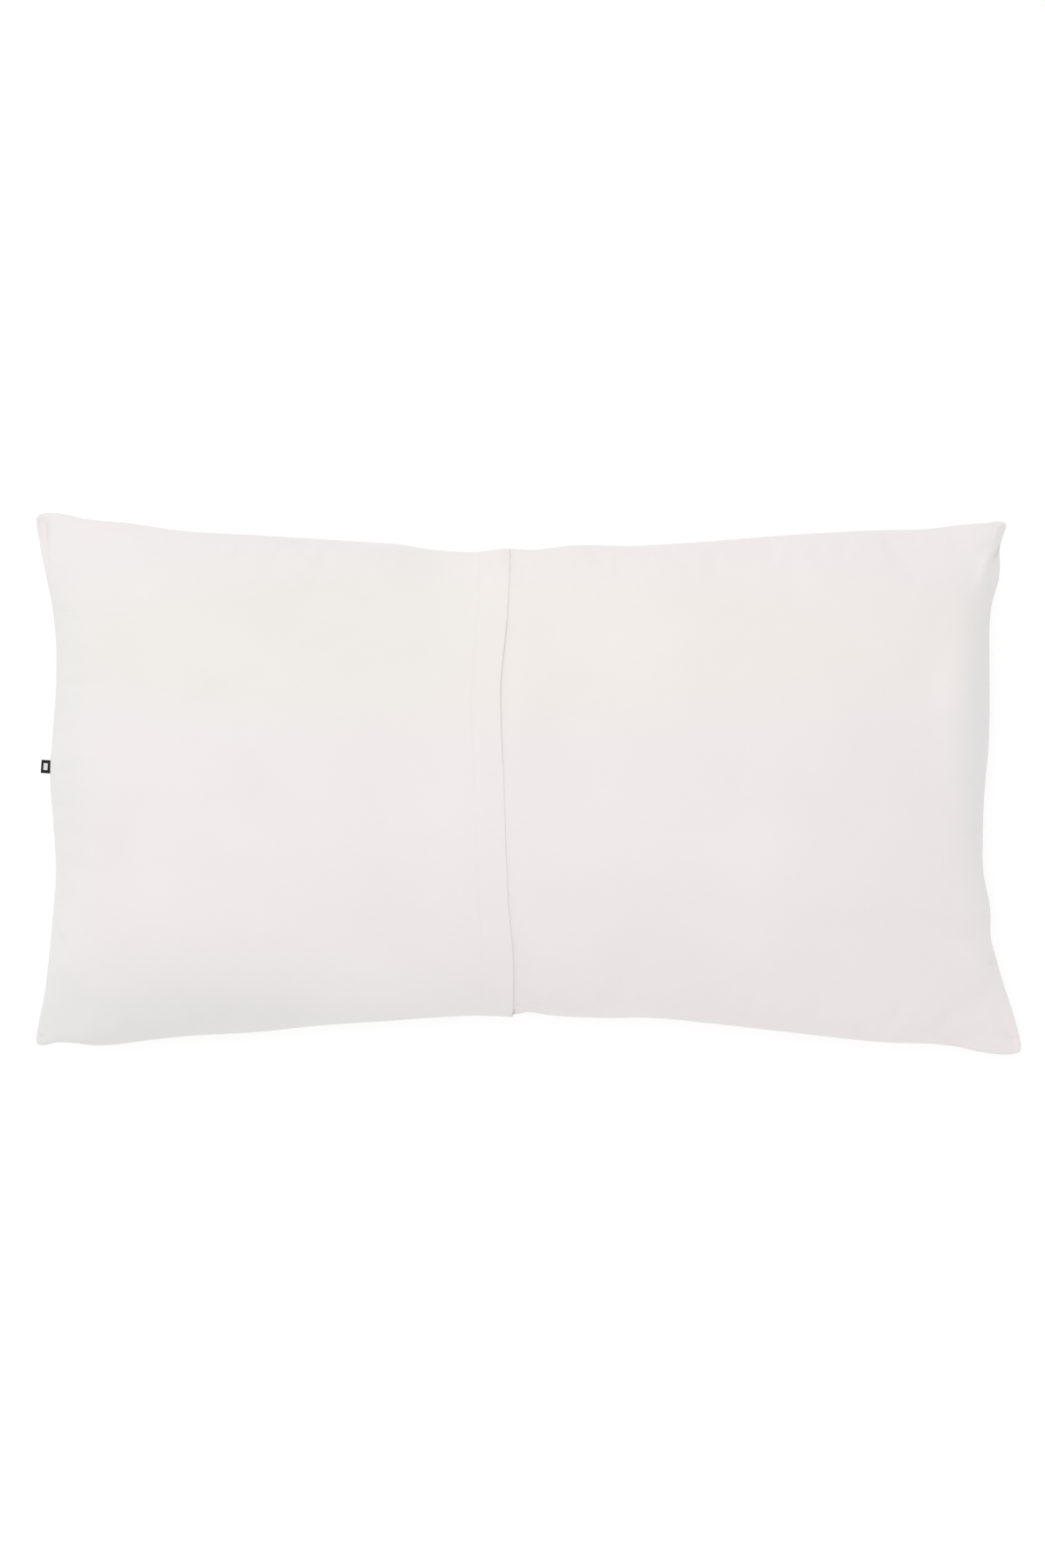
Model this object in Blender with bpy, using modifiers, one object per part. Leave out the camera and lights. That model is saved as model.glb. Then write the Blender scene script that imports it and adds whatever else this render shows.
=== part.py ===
"""A filled pillowcase that lies on its front, with the envelope closure of its back upwards.

Sizes are in millimetres until MM turns them into metres. +X runs along the case, +Y across it and
+Z up, and the origin is on the floor under the middle of the case.
"""

import math
from collections import namedtuple

import bmesh
import bpy
import numpy as np

MM = 0.001

CLOTH = 1.6  # thickness of a back panel
GAP = 0.4  # between pieces that touch
MERGE = 0.01  # points closer than this are one
SEAM_BAND = 2.0  # height of the sewn edge of the front panel
SEAM_TUCK = 2.0  # how far in the front panel starts below its sewn edge
CROWN = 100.0  # from the seam up to the top of the back
BELLY = 104.0  # from the seam down to the lowest cloth, if the floor didn't flatten it
FLOOR_SOFTNESS = 9.0  # how gradually the underside meets the floor
END_FULLNESS = 3.4  # how long the crown stays full towards the ends
SIDE_FULLNESS = 2.3  # and towards the long sides
SEAM_STEEPNESS = 0.58  # below 1 the cloth leaves the seam steeply
RELIEF_ROOT = 0.12  # fullness at which folds reach their whole depth
HEM_WIDTH = 26.0
HEM_RISE = 0.6  # how far the double cloth of the hem stands up
HEM_STEP = 2.0  # how wide the step up to it is
OVERLAP = 170.0  # from the flap's edge to the hidden hem of the right panel
SINK_RAMP = 40.0  # where the cloth below makes room for the hidden hem
STEP_RAMP = 24.0  # where the right panel rises again beside the flap's edge

LEFT_END, RIGHT_END = -430.0, 413.0  # the ends of the case at its middle
FLAP_EDGE = -22.0
HEM_START = FLAP_EDGE - HEM_WIDTH
HIDDEN_HEM = FLAP_EDGE - OVERLAP

# How many faces the cloth has along each stretch, and how much closer they lie towards a seam.
LEFT_FACES, SINK_FACES, COVERED_FACES, STEP_FACES, RIGHT_FACES = 12, 3, 6, 3, 18
HALF_ROW_FACES = 13
SEAM_CROWDING, RIGHT_CROWDING = 1.6, 1.5
NORMAL_STEP = 0.001  # share of the case over which a normal is measured

SeamPoint = namedtuple("SeamPoint", "along aside height")
TOP_SEAM = [  # along is x, aside is y
    SeamPoint(-444.4, 242, 50),
    SeamPoint(-441.5, 243.7, 50),
    SeamPoint(-429.5, 244.8, 51),
    SeamPoint(-419, 243.6, 53),
    SeamPoint(-404, 239.7, 54),
    SeamPoint(-388, 237.6, 56),
    SeamPoint(-360, 235, 58),
    SeamPoint(-320, 229, 61),
    SeamPoint(-242, 224, 65),
    SeamPoint(-148, 218, 67),
    SeamPoint(-118, 216, 67),
    SeamPoint(-90, 211.5, 66),
    SeamPoint(-50, 209, 66),
    SeamPoint(-16, 212, 67),
    SeamPoint(0, 211, 67),
    SeamPoint(41, 215, 66),
    SeamPoint(95, 214.5, 67),
    SeamPoint(140, 217, 67),
    SeamPoint(230, 224, 65),
    SeamPoint(325, 229, 62),
    SeamPoint(355, 229.5, 61),
    SeamPoint(391, 233.8, 58),
    SeamPoint(414, 235.6, 56),
    SeamPoint(428.5, 236.3, 55),
    SeamPoint(430.9, 235.3, 55),
]
BOTTOM_SEAM = [  # along is x, aside is y
    SeamPoint(-445.2, -235.6, 47),
    SeamPoint(-439.5, -236.5, 47),
    SeamPoint(-427, -234.1, 49),
    SeamPoint(-416, -234.4, 50),
    SeamPoint(-397, -236.5, 52),
    SeamPoint(-379, -236.4, 53),
    SeamPoint(-352, -232.9, 56),
    SeamPoint(-313, -228.5, 59),
    SeamPoint(-242, -224, 63),
    SeamPoint(-195, -219, 65),
    SeamPoint(-124, -214, 66),
    SeamPoint(-53, -209.5, 66),
    SeamPoint(-16, -209, 66),
    SeamPoint(-1, -206.5, 67),
    SeamPoint(18, -209, 66),
    SeamPoint(65, -211.5, 66),
    SeamPoint(110, -211.5, 66),
    SeamPoint(160, -216, 66),
    SeamPoint(230, -224, 63),
    SeamPoint(325, -234, 57),
    SeamPoint(370, -235.8, 52),
    SeamPoint(388, -238.2, 49),
    SeamPoint(409, -242.8, 46),
    SeamPoint(426, -245.2, 44),
    SeamPoint(439, -244.8, 42),
    SeamPoint(444.8, -243, 42),
]
LEFT_SEAM = [  # along is y, aside is x
    SeamPoint(-235.6, -445.2, 47),
    SeamPoint(-231, -445.7, 48),
    SeamPoint(-218, -443.8, 49),
    SeamPoint(-193, -438.6, 52),
    SeamPoint(-157, -434, 55),
    SeamPoint(-126, -431, 58),
    SeamPoint(-80, -427.5, 61),
    SeamPoint(-32, -430, 62),
    SeamPoint(0, -432.5, 62),
    SeamPoint(15, -432.5, 62),
    SeamPoint(47, -430, 62),
    SeamPoint(110, -427, 60),
    SeamPoint(141, -428.5, 58),
    SeamPoint(180, -434.8, 55),
    SeamPoint(204, -440.3, 53),
    SeamPoint(218, -442.8, 51),
    SeamPoint(235, -445.4, 50),
    SeamPoint(239.5, -445.4, 50),
    SeamPoint(242, -444.4, 50),
]
RIGHT_SEAM = [  # along is y, aside is x
    SeamPoint(-243, 444.8, 42),
    SeamPoint(-239, 445.5, 42),
    SeamPoint(-229, 443.8, 43),
    SeamPoint(-208, 438.3, 45),
    SeamPoint(-182, 429.6, 49),
    SeamPoint(-155, 421.6, 53),
    SeamPoint(-142, 418, 54),
    SeamPoint(-114, 417, 57),
    SeamPoint(-79, 410.5, 60),
    SeamPoint(-48, 409.5, 61),
    SeamPoint(0, 411, 62),
    SeamPoint(31, 414.5, 62),
    SeamPoint(60, 416, 62),
    SeamPoint(110, 416, 61),
    SeamPoint(145, 416.4, 59),
    SeamPoint(160, 417.9, 58),
    SeamPoint(171, 420.7, 57),
    SeamPoint(183, 424.3, 56),
    SeamPoint(197, 425.8, 55),
    SeamPoint(213, 425.5, 54),
    SeamPoint(219, 426.8, 55),
    SeamPoint(229, 430.2, 55),
    SeamPoint(233, 431.4, 55),
    SeamPoint(235.3, 430.9, 55),
]
FLAP_LINE = [  # along is y, aside is x, of the flap's hemmed edge
    SeamPoint(-209, -14.5, 0),
    SeamPoint(-155, -14.5, 0),
    SeamPoint(-107, -18.5, 0),
    SeamPoint(0, -22.5, 0),
    SeamPoint(50, -25, 0),
    SeamPoint(97, -25, 0),
    SeamPoint(129, -21.5, 0),
    SeamPoint(160, -19, 0),
    SeamPoint(212, -17, 0),
]

Fold = namedtuple("Fold", "x0 y0 x1 y1 width rise")
FOLDS = [  # soft ridges (rise above 0) and troughs in the back, from one point to another
    Fold(426, 219, 398, 176, 9, -9),  # between the right top ear and the end's bulge
    Fold(-437, 238, -424, 160, 7, 7),  # ridge inside the left top ear
    Fold(-441, 226, -434, 190, 4, -3),  # its hollow against the seam
    Fold(446, -228, 408, -212, 6, -4),  # across the right bottom ear
    Fold(424, -244, 398, -206, 8, 4),  # the ear's rounded root
    Fold(-441, -222, -418, -229, 6, -3),  # behind the left bottom ear's nub
    Fold(420, -104, 400, -150, 8, -3),  # tuck on the right end
    Fold(-16, 208, 4, 176, 6, -2),  # where the flap's hem meets the top seam
    Fold(-3, -205, 10, -180, 6, -2),  # where it meets the bottom seam
    Fold(-75, 207, -60, 150, 16, -2.5),
    Fold(330, 226, 318, 170, 20, -2),
]

Ear = namedtuple("Ear", "x y reach flatness")
EARS = [
    Ear(-443, 241, 60, 0.25),
    Ear(431, 236, 60, 0.5),
    Ear(444, -241, 85, 0.5),
    Ear(-445, -235, 55, 0.45),
]

Swell = namedtuple("Swell", "x y radius rise")
SWELLS = [  # where the filling stands a little higher or lower
    Swell(-250, 60, 110, 3),
    Swell(-120, -110, 90, -2.5),
    Swell(90, 70, 100, 2),
    Swell(240, -60, 110, 3.5),
    Swell(330, 110, 70, -2.5),
    Swell(-350, -120, 70, 2.5),
]

TAB_Y = 15.0
TAB_WIDTH = 12.0
TAB_REACH = 8.0
TAB_RIBBON = 0.7  # thickness of the ribbon
TAB_FOLD_RADIUS = 0.6
TAB_TURN = math.radians(-4)
TAB_DROOP = math.radians(8)

OFF_WHITE = (0.87, 0.84, 0.80, 1.0)
BLACK = (0.012, 0.012, 0.013, 1.0)


def smooth_step(t):
    t = np.clip(t, 0.0, 1.0)
    return t * t * (3.0 - 2.0 * t)


def through(points, column, at):
    """The named column of a table of points, read at `at` along a smooth line through them."""
    along = np.array([point.along for point in points], float)
    value = np.array([getattr(point, column) for point in points], float)
    slope = np.gradient(value, along)
    at = np.clip(at, along[0], along[-1])
    i = np.clip(np.searchsorted(along, at, side="right") - 1, 0, len(along) - 2)
    span = along[i + 1] - along[i]
    t = (at - along[i]) / span
    start = (1 + 2 * t) * (1 - t) ** 2 * value[i] + t * (1 - t) ** 2 * span * slope[i]
    end = t * t * (3 - 2 * t) * value[i + 1] + t * t * (t - 1) * span * slope[i + 1]
    return start + end


def seam_sides(u, v):
    """The four seams beside the point (u, v): x of the ends, y of the long sides."""
    left, right = (
        through(points, "aside", points[0].along + v * (points[-1].along - points[0].along))
        for points in (LEFT_SEAM, RIGHT_SEAM)
    )
    bottom, top = (
        through(points, "aside", points[0].along + u * (points[-1].along - points[0].along))
        for points in (BOTTOM_SEAM, TOP_SEAM)
    )
    return left, right, bottom, top


def seam_height(u, v):
    """Height of the surface stretched between the four seams."""
    left, right = (
        through(points, "height", points[0].along + v * (points[-1].along - points[0].along))
        for points in (LEFT_SEAM, RIGHT_SEAM)
    )
    bottom, top = (
        through(points, "height", points[0].along + u * (points[-1].along - points[0].along))
        for points in (BOTTOM_SEAM, TOP_SEAM)
    )
    corners = (
        (1 - u) * (1 - v) * BOTTOM_SEAM[0].height
        + u * (1 - v) * BOTTOM_SEAM[-1].height
        + (1 - u) * v * TOP_SEAM[0].height
        + u * v * TOP_SEAM[-1].height
    )
    return (1 - v) * bottom + v * top + (1 - u) * left + u * right - corners


def plan(u, v):
    left, right, bottom, top = seam_sides(u, v)
    return left + u * (right - left), bottom + v * (top - bottom)


def fullness(u, v, x, y):
    """How full the case is: 0 at the seams and 1 at the middle, and flatter towards the ears."""
    end = (1 - np.abs(2 * u - 1) ** END_FULLNESS) ** SEAM_STEEPNESS
    side = (1 - np.abs(2 * v - 1) ** SIDE_FULLNESS) ** SEAM_STEEPNESS
    full = np.maximum(end * side, 0.0)
    for ear in EARS:
        away = np.hypot(x - ear.x, y - ear.y) / ear.reach
        full = full * (1 - ear.flatness * np.exp(-(away**2)))
    return full


def relief(x, y):
    """Folds and swells of the back."""
    rise = np.zeros_like(x)
    for fold in FOLDS:
        dx, dy = fold.x1 - fold.x0, fold.y1 - fold.y0
        t = np.clip(((x - fold.x0) * dx + (y - fold.y0) * dy) / (dx * dx + dy * dy), 0, 1)
        away = np.hypot(x - fold.x0 - t * dx, y - fold.y0 - t * dy)
        width = fold.width * (1 + t)
        rise = rise + fold.rise * (1 - t) * np.exp(-((away / width) ** 2))
    for swell in SWELLS:
        away = np.hypot(x - swell.x, y - swell.y) / swell.radius
        rise = rise + swell.rise * np.exp(-(away**2))
    return rise


def back(u, v):
    """Outer surface of the back, as points (..., 3)."""
    x, y = plan(u, v)
    full = fullness(u, v, x, y)
    rooted = smooth_step(full / RELIEF_ROOT)
    z = seam_height(u, v) + CLOTH + CROWN * full + rooted * relief(x, y)
    return np.stack([x, y, z], axis=-1)


def front(u, v):
    """Outer surface of the front, flat where it rests on the floor."""
    x, y = plan(u, v)
    z = seam_height(u, v) - GAP - SEAM_BAND - BELLY * fullness(u, v, x, y)
    soft = (z + FLOOR_SOFTNESS) ** 2 / (4 * FLOOR_SOFTNESS)
    z = np.where(z > FLOOR_SOFTNESS, z, np.where(z < -FLOOR_SOFTNESS, 0.0, soft))
    return np.stack([x, y, z], axis=-1)


def upward(surface, u, v):
    """Unit normals of a surface of (u, v)."""
    right, left = np.minimum(u + NORMAL_STEP, 1), np.maximum(u - NORMAL_STEP, 0)
    upper, lower = np.minimum(v + NORMAL_STEP, 1), np.maximum(v - NORMAL_STEP, 0)
    along = surface(right, v) - surface(left, v)
    across = surface(u, upper) - surface(u, lower)
    normal = np.cross(along, across)
    return normal / np.linalg.norm(normal, axis=-1, keepdims=True)


def spread(start, stop, count, power=1.0):
    """Places from start to stop, closer together near start when power is over 1."""
    return start + (stop - start) * (np.arange(count + 1) / count) ** power


def case_columns():
    """Where the cloth is divided along x, at the middle of the case."""
    return np.concatenate(
        [
            spread(LEFT_END, HIDDEN_HEM - SINK_RAMP, LEFT_FACES, SEAM_CROWDING)[:-1],
            spread(HIDDEN_HEM - SINK_RAMP, HIDDEN_HEM, SINK_FACES)[:-1],
            spread(HIDDEN_HEM, HEM_START - HEM_STEP, COVERED_FACES)[:-1],
            [HEM_START - HEM_STEP, HEM_START, FLAP_EDGE - HEM_WIDTH / 2],
            spread(FLAP_EDGE, FLAP_EDGE + STEP_RAMP, STEP_FACES)[:-1],
            spread(RIGHT_END, FLAP_EDGE + STEP_RAMP, RIGHT_FACES, RIGHT_CROWDING)[::-1],
        ]
    )


def case_rows():
    """Where the cloth is divided across, from 0 to 1."""
    half = spread(0.0, 0.5, HALF_ROW_FACES, SEAM_CROWDING)
    return np.concatenate([half, 1 - half[-2::-1]])


COLUMNS = case_columns()
ROWS = case_rows()
FLAP_COLUMN = int(np.argmin(np.abs(COLUMNS - FLAP_EDGE)))
HIDDEN_COLUMN = int(np.argmin(np.abs(COLUMNS - HIDDEN_HEM)))


def case_grid():
    """u and v of every point where a column meets a row; the flap's edge is one column."""
    v = np.broadcast_to(ROWS, (len(COLUMNS), len(ROWS)))
    left, right, bottom, top = seam_sides(np.full_like(v, 0.5), v)
    flap_x = through(FLAP_LINE, "aside", bottom + v * (top - bottom))
    flap_u = (flap_x - left) / (right - left)
    column = COLUMNS[:, None]
    before = flap_u * (column - LEFT_END) / (FLAP_EDGE - LEFT_END)
    after = flap_u + (1 - flap_u) * (column - FLAP_EDGE) / (RIGHT_END - FLAP_EDGE)
    return np.where(column < FLAP_EDGE, before, after), v


def covered():
    """How far the flap covers each column, from 0 to 1; what lies under it makes room for it."""
    under = smooth_step((COLUMNS - (HIDDEN_HEM - SINK_RAMP)) / SINK_RAMP)
    beside = 1 - smooth_step((COLUMNS - FLAP_EDGE) / STEP_RAMP)
    return (under * beside)[:, None] * np.ones(len(ROWS))


def hem_rise():
    """Double cloth along the flap's edge."""
    return HEM_RISE * smooth_step((COLUMNS - (HEM_START - HEM_STEP)) / HEM_STEP)[:, None]


def rim_mask(shape):
    mask = np.zeros(shape, bool)
    mask[[0, -1], :] = True
    mask[:, [0, -1]] = True
    return mask


def inward(points):
    """Level unit directions from the seam into the case, used on the rim only."""
    along = np.gradient(points[..., :2], axis=0)
    across = np.gradient(points[..., :2], axis=1)
    direction = np.zeros_like(points)
    for side, axis, sign in (
        (np.s_[:, 0], along, 1),
        (np.s_[:, -1], along, -1),
        (np.s_[0, :], across, -1),
        (np.s_[-1, :], across, 1),
    ):
        tangent = axis[side] / np.linalg.norm(axis[side], axis=-1, keepdims=True)
        direction[side] += np.stack(
            [-sign * tangent[..., 1], sign * tangent[..., 0], 0 * tangent[..., 0]], axis=-1
        )
    length = np.linalg.norm(direction, axis=-1, keepdims=True)
    return direction / np.maximum(length, 1e-9)


U, V = case_grid()
BACK = back(U, V)
BACK_NORMAL = upward(back, U, V)
BACK_INWARD = inward(BACK)
SEAM_Z = seam_height(U, V)
RIM = rim_mask(U.shape)
COVERED = covered()
SINK = (CLOTH + GAP) * COVERED


def layer(depth, rim_height):
    """A layer at a depth below the outer surface; on the rim it stands that far in from the seam."""
    depth = np.broadcast_to(depth, U.shape)[..., None]
    inner = BACK - depth * BACK_NORMAL
    rim = BACK + depth * BACK_INWARD
    rim[..., 2] = SEAM_Z + rim_height
    return np.where(RIM[..., None], rim, inner)


def with_ring(points, ring):
    """The grid of points with one more ring of points around it, taken from the grid `ring`."""
    grown = np.pad(points, ((1, 1), (1, 1), (0, 0)))
    edge = np.pad(ring, ((1, 1), (1, 1), (0, 0)), mode="edge")
    mask = rim_mask(grown.shape[:2])[..., None]
    return np.where(mask, edge, grown)


def closed_grid(upper, lower):
    """A closed body between two grids of points that share their columns and rows."""
    columns, rows = upper.shape[0] - 1, upper.shape[1] - 1
    shape = bmesh.new()
    bmesh.ops.create_grid(shape, x_segments=columns, y_segments=rows, size=1)
    bmesh.ops.triangulate(shape, faces=shape.faces[:], quad_method="FIXED")
    raised = bmesh.ops.extrude_face_region(shape, geom=shape.faces[:])["geom"]
    raised = {item for item in raised if isinstance(item, bmesh.types.BMVert)}
    for vert in shape.verts:
        column = round((vert.co.x + 1) / 2 * columns)
        row = round((vert.co.y + 1) / 2 * rows)
        grid = upper if vert in raised else lower
        vert.co = grid[column, row] * MM
    bmesh.ops.remove_doubles(shape, verts=shape.verts[:], dist=MERGE * MM)
    bmesh.ops.recalc_face_normals(shape, faces=shape.faces[:])
    return shape


def add_piece(name, shape, colour, roughness, collection):
    mesh = bpy.data.meshes.new(name)
    shape.to_mesh(mesh)
    shape.free()
    mesh.shade_smooth()
    mesh.set_sharp_from_angle(angle=math.radians(50))
    material = bpy.data.materials.new(name + "_cloth")
    material.use_nodes = True
    surface = material.node_tree.nodes["Principled BSDF"]
    surface.inputs["Base Color"].default_value = colour
    surface.inputs["Roughness"].default_value = roughness
    surface.inputs["Metallic"].default_value = 0.0
    mesh.materials.append(material)
    piece = bpy.data.objects.new(name, mesh)
    collection.objects.link(piece)
    return piece


def add_filled_front_panel(collection):
    """The front panel and all that it holds: one closed body with a ledge for the back's edges."""
    inside = layer(SINK + CLOTH + GAP, -GAP)
    ledge = layer(SINK + CLOTH + 2 * GAP, -GAP)
    top = np.where(RIM[..., None], ledge, inside)
    bottom = np.where(RIM[..., None], layer(SEAM_TUCK, -GAP - SEAM_BAND - SEAM_TUCK / 2), front(U, V))
    seam_top = layer(0, -GAP)
    seam_bottom = layer(0, -GAP - SEAM_BAND)
    shape = closed_grid(with_ring(top, seam_top), with_ring(bottom, seam_bottom))
    return add_piece("filled_front_panel", shape, OFF_WHITE, 0.85, collection)


def add_right_back_panel(collection):
    """Cloth from the right end seam to the hem that lies hidden under the flap."""
    upper = layer(SINK, CLOTH * (1 - COVERED))[HIDDEN_COLUMN:]
    lower = layer(SINK + CLOTH, 0)[HIDDEN_COLUMN:]
    return add_piece("right_back_panel", closed_grid(upper, lower), OFF_WHITE, 0.85, collection)


def add_left_back_flap(collection):
    """Cloth from the left end seam to its hemmed edge, over the right panel."""
    upper = layer(-hem_rise(), CLOTH)[: FLAP_COLUMN + 1]
    lower = layer(CLOTH, 0)[: FLAP_COLUMN + 1]
    return add_piece("left_back_flap", closed_grid(upper, lower), OFF_WHITE, 0.85, collection)


def add_side_tab(collection):
    """A short ribbon folded in two, with its ends at the left seam."""
    turns = 8
    leg = TAB_REACH - TAB_FOLD_RADIUS - TAB_RIBBON / 2
    angle = np.linspace(math.pi / 2, -math.pi / 2, turns + 1)
    path = [(0.0, TAB_FOLD_RADIUS)]
    path += [(leg + TAB_FOLD_RADIUS * math.cos(a), TAB_FOLD_RADIUS * math.sin(a)) for a in angle]
    path += [(0.0, -TAB_FOLD_RADIUS)]
    shape = bmesh.new()
    bmesh.ops.create_grid(shape, x_segments=len(path) - 1, y_segments=2, size=1)
    for vert in shape.verts:
        out, up = path[round((vert.co.x + 1) / 2 * (len(path) - 1))]
        vert.co = (-out * MM, vert.co.y * TAB_WIDTH / 2 * MM, up * MM)
    bmesh.ops.recalc_face_normals(shape, faces=shape.faces[:])
    tab = add_piece("side_tab", shape, BLACK, 0.6, collection)
    thickness = tab.modifiers.new("ribbon", "SOLIDIFY")
    thickness.thickness = TAB_RIBBON * MM
    thickness.offset = 0
    seam_x = through(LEFT_SEAM, "aside", TAB_Y)
    seam_z = through(LEFT_SEAM, "height", TAB_Y)
    tab.location = ((seam_x - GAP) * MM, TAB_Y * MM, (seam_z - GAP) * MM)
    tab.rotation_euler = (0, -TAB_DROOP, TAB_TURN)
    return tab


def main():
    for old in list(bpy.data.objects):
        bpy.data.objects.remove(old, do_unlink=True)
    pillowcase = bpy.data.collections.new("pillowcase")
    bpy.context.scene.collection.children.link(pillowcase)
    add_filled_front_panel(pillowcase)
    add_right_back_panel(pillowcase)
    add_left_back_flap(pillowcase)
    add_side_tab(pillowcase)


main()
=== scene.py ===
"""The looks of a filled pillowcase that lies on its front, with its envelope closure upwards.

Sizes are in millimetres until MM turns them into metres, except where a comment says metres.
"""

import math
from collections import namedtuple

import bmesh
import bpy
import numpy as np
from mathutils import Matrix, Vector


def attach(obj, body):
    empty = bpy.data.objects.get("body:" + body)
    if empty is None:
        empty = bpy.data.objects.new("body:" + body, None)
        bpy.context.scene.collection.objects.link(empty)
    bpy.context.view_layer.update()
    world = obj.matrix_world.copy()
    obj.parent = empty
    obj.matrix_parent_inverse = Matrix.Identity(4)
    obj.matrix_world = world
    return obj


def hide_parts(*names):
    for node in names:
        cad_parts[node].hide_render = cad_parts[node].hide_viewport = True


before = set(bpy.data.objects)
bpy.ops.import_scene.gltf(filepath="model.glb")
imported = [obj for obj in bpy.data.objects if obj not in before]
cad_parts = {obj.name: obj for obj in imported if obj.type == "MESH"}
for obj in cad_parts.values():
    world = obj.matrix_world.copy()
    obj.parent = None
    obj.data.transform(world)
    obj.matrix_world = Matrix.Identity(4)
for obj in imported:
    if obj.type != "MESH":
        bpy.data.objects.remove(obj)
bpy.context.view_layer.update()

MM = 0.001
TINY = 1e-9  # the least length that anything is divided by
SAME_PLACE = 0.002  # corners closer together than this become one

# ---------------------------------------------------------------- the case's sizes

CLOTH = 0.9  # thickness of a back panel
GAP = 0.15  # between layers of cloth
LIP_HEIGHT = 1.6  # how far each cloth turns up or down beside the seam
LIP_DEPTH = 1.3  # how far in the seam lies behind the turned cloth
LIP_RINGS = 4
LIP_SHARE = 0.95  # of its height that each cloth turns, so that the two don't meet
CROWN = 100.0  # height of the back above its seams
BELLY = 104.0  # depth of the front below them, before the floor flattens it
FLOOR_SOFTNESS = 9.0  # height over which the front rounds off to the floor
END_FULLNESS = 3.4  # the larger, the squarer the arch from end to end
SIDE_FULLNESS = 2.3  # and from side to side
SEAM_STEEPNESS = 0.58  # the smaller, the steeper the cloth leaves its seam
RELIEF_ROOT = 0.12  # the fullness at which folds and swells reach their height
HEM_WIDTH = 26.0
HEM_RISE = 0.22  # of the hem's folded cloth
HEM_STEP = 9.0  # width of the step beside the hem's stitches
GROOVE_DEPTH, GROOVE_WIDTH = 0.04, 0.9  # where the stitches draw the hem down
OVERLAP = 170.0  # of the right panel under the flap
SINK_RAMP = 40.0  # width over which the cloth sinks left of the overlap
STEP_RAMP = 24.0  # width over which it rises again right of the flap's edge
LEFT_END, RIGHT_END = -430.0, 413.0
FLAP_EDGE = -22.0
MIDDLE_WIDTH = 420.0  # between the long seams

FINEST, WIDEST = 0.7, 3.8  # spacing of the cloth's points at the seams and in the middle
SPACING_GROWTH = 1.08  # from each point to the next
GROOVE_REACH = (4, 2)  # how far the points stay fine left and right of the hem's stitches
GROOVE_SPACING, GROOVE_APPROACH = 0.6, 1.5  # spacing there, and just left of it
HEM_SPACING, EDGE_SPACING, WIDEST_IN_HEM = 1.0, 0.12, 2.2  # from there to the flap's edge
HEM_GROWTH = 1.25
PAST_EDGE_SPACING = 0.6  # right of the flap's edge

SeamPoint = namedtuple("SeamPoint", "along aside height")
TOP_SEAM = [  # along is x, aside is y
    SeamPoint(-444.4, 242, 50),
    SeamPoint(-441.5, 243.7, 50),
    SeamPoint(-429.5, 244.8, 51),
    SeamPoint(-419, 243.6, 53),
    SeamPoint(-404, 239.7, 54),
    SeamPoint(-388, 237.6, 56),
    SeamPoint(-360, 235, 58),
    SeamPoint(-320, 229, 61),
    SeamPoint(-242, 224, 65),
    SeamPoint(-148, 218, 67),
    SeamPoint(-118, 216, 67),
    SeamPoint(-90, 211.5, 66),
    SeamPoint(-50, 209, 66),
    SeamPoint(-16, 212, 67),
    SeamPoint(0, 211, 67),
    SeamPoint(41, 215, 66),
    SeamPoint(95, 214.5, 67),
    SeamPoint(140, 217, 67),
    SeamPoint(230, 224, 65),
    SeamPoint(325, 229, 62),
    SeamPoint(355, 229.5, 61),
    SeamPoint(391, 233.8, 58),
    SeamPoint(414, 235.6, 56),
    SeamPoint(428.5, 236.3, 55),
    SeamPoint(430.9, 235.3, 55),
]
BOTTOM_SEAM = [  # along is x, aside is y
    SeamPoint(-445.2, -235.6, 47),
    SeamPoint(-439.5, -236.5, 47),
    SeamPoint(-427, -234.1, 49),
    SeamPoint(-416, -234.4, 50),
    SeamPoint(-397, -236.5, 52),
    SeamPoint(-379, -236.4, 53),
    SeamPoint(-352, -232.9, 56),
    SeamPoint(-313, -228.5, 59),
    SeamPoint(-242, -224, 63),
    SeamPoint(-195, -219, 65),
    SeamPoint(-124, -214, 66),
    SeamPoint(-53, -209.5, 66),
    SeamPoint(-16, -209, 66),
    SeamPoint(-1, -206.5, 67),
    SeamPoint(18, -209, 66),
    SeamPoint(65, -211.5, 66),
    SeamPoint(110, -211.5, 66),
    SeamPoint(160, -216, 66),
    SeamPoint(230, -224, 63),
    SeamPoint(325, -234, 57),
    SeamPoint(370, -235.8, 52),
    SeamPoint(388, -238.2, 49),
    SeamPoint(409, -242.8, 46),
    SeamPoint(426, -245.2, 44),
    SeamPoint(439, -244.8, 42),
    SeamPoint(444.8, -243, 42),
]
LEFT_SEAM = [  # along is y, aside is x
    SeamPoint(-235.6, -445.2, 47),
    SeamPoint(-231, -445.7, 48),
    SeamPoint(-218, -443.8, 49),
    SeamPoint(-193, -438.6, 52),
    SeamPoint(-157, -434, 55),
    SeamPoint(-126, -431, 58),
    SeamPoint(-80, -427.5, 61),
    SeamPoint(-32, -430, 62),
    SeamPoint(0, -432.5, 62),
    SeamPoint(15, -432.5, 62),
    SeamPoint(47, -430, 62),
    SeamPoint(110, -427, 60),
    SeamPoint(141, -428.5, 58),
    SeamPoint(180, -434.8, 55),
    SeamPoint(204, -440.3, 53),
    SeamPoint(218, -442.8, 51),
    SeamPoint(235, -445.4, 50),
    SeamPoint(239.5, -445.4, 50),
    SeamPoint(242, -444.4, 50),
]
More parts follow.
